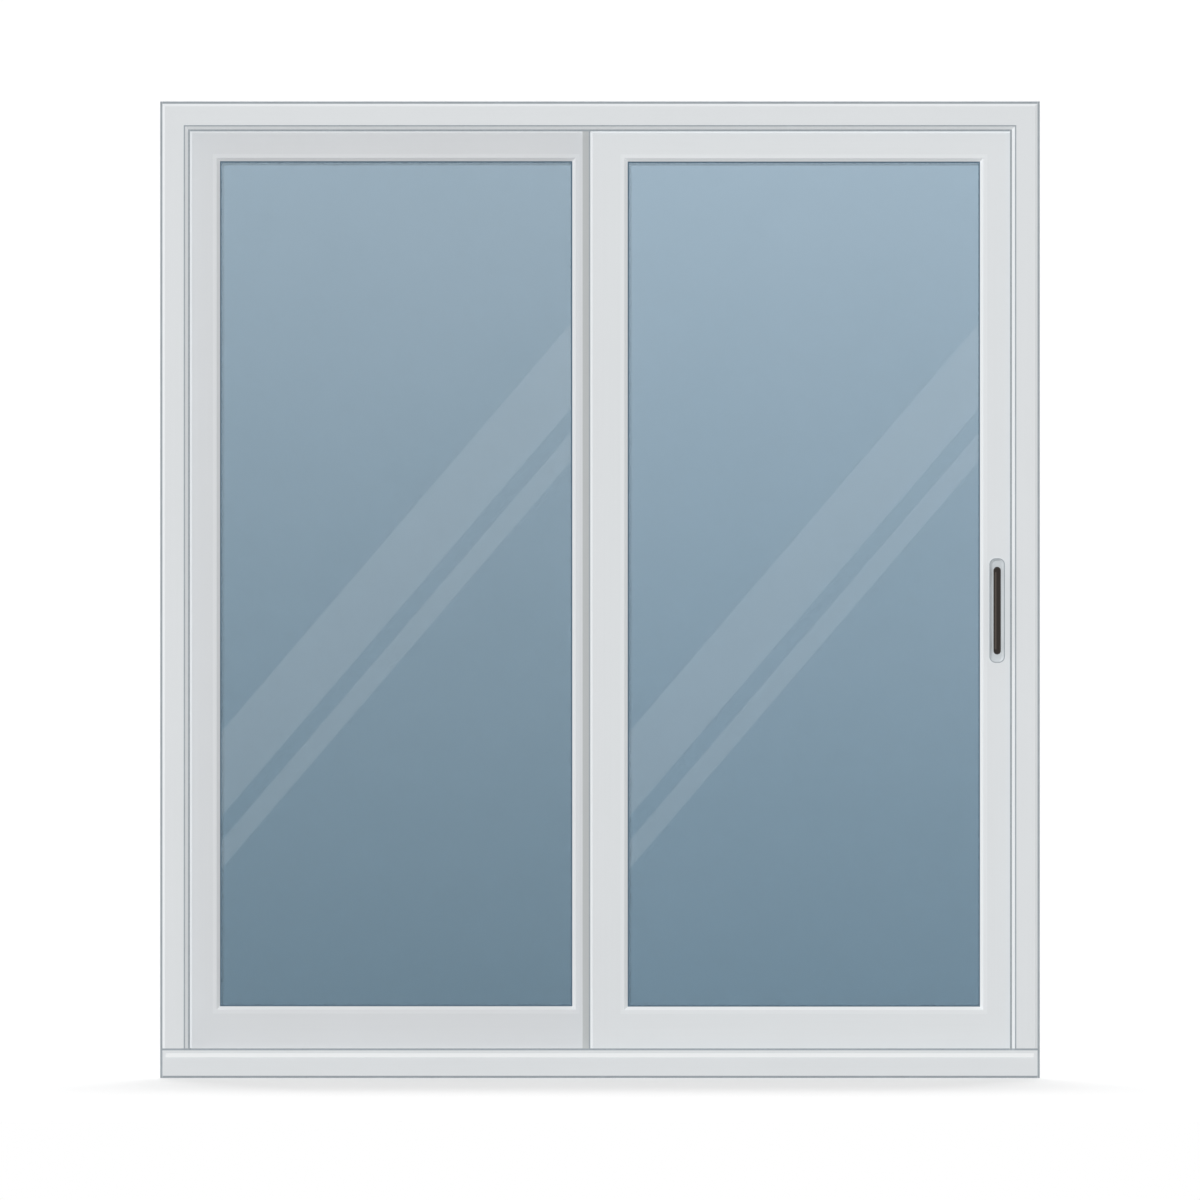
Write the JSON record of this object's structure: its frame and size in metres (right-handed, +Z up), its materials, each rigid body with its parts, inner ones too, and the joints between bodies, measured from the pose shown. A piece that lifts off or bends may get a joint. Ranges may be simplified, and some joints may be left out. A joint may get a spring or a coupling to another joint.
{
  "type": "glass sliding patio door",
  "caption": "Framed patio door with a fixed glazed panel and a sliding glazed panel with a pull handle, on a full-width sill.",
  "frame": {"origin": "middle of the sill's underside, where the frame stands in its wall opening", "axes": "+X to the right seen from the room, +Y towards the outside, +Z up; the room side faces -Y"},
  "size_m": [1.816, 0.154, 2.016],
  "materials": {
    "frame_vinyl": "satin pale grey",
    "fixed_sash_vinyl": "satin pale grey, a shade darker",
    "sliding_sash_vinyl": "satin pale grey",
    "grey_seal": "matt mid grey",
    "tinted_glass": "clear, tinted blue-grey",
    "spacer_bar": "matt grey",
    "glazing_gasket": "matt dark blue-grey",
    "interlock_profile": "satin mid grey",
    "track_metal": "mill finish",
    "carriage_steel": "zinc plated",
    "roller_nylon": "off-white nylon",
    "stop_rubber": "matt black",
    "handle_plate": "satin pale grey",
    "grip_dark": "satin dark brown",
    "lock_steel": "brushed"
  },
  "bodies": {
    "frame": {"sill": "frame_vinyl", "sill_nosing": "frame_vinyl", "left_jamb": "frame_vinyl", "right_jamb": "frame_vinyl", "head": "frame_vinyl", "frame_edge_seal": "grey_seal", "lip_pile_seal": "grey_seal", "roller_track": "track_metal", "head_guide": "track_metal", "fixed_left_stile": "fixed_sash_vinyl", "fixed_right_stile": "fixed_sash_vinyl", "fixed_bottom_rail": "fixed_sash_vinyl", "fixed_top_rail": "fixed_sash_vinyl", "fixed_bottom_bead": "fixed_sash_vinyl", "fixed_right_bead": "fixed_sash_vinyl", "fixed_top_bead": "fixed_sash_vinyl", "fixed_left_bead": "fixed_sash_vinyl", "fixed_room_pane": "tinted_glass", "fixed_outside_pane": "tinted_glass", "fixed_pane_spacer": "spacer_bar", "fixed_gasket": "glazing_gasket", "fixed_interlock": "interlock_profile", "end_stop": "stop_rubber", "strike_plate": "lock_steel", "jamb_gaskets": "grey_seal"},
    "sliding_panel": {"sliding_left_stile": "sliding_sash_vinyl", "sliding_right_stile": "sliding_sash_vinyl", "sliding_bottom_rail": "sliding_sash_vinyl", "sliding_top_rail": "sliding_sash_vinyl", "sliding_bottom_bead": "sliding_sash_vinyl", "sliding_right_bead": "sliding_sash_vinyl", "sliding_top_bead": "sliding_sash_vinyl", "sliding_left_bead": "sliding_sash_vinyl", "sliding_room_pane": "tinted_glass", "sliding_outside_pane": "tinted_glass", "sliding_pane_spacer": "spacer_bar", "sliding_gasket": "glazing_gasket", "sliding_interlock": "interlock_profile", "roller_carriages": "carriage_steel", "rollers": "roller_nylon", "handle_plate": "handle_plate", "grip_bar": "grip_dark", "outside_pull": "handle_plate", "lock_plate": "lock_steel"}
  },
  "joints": [
    {"name": "panel_slide", "type": "slide", "parent": "frame", "child": "sliding_panel", "axis": [-1, 0, 0], "range_m": [0, 0.8]}
  ]
}
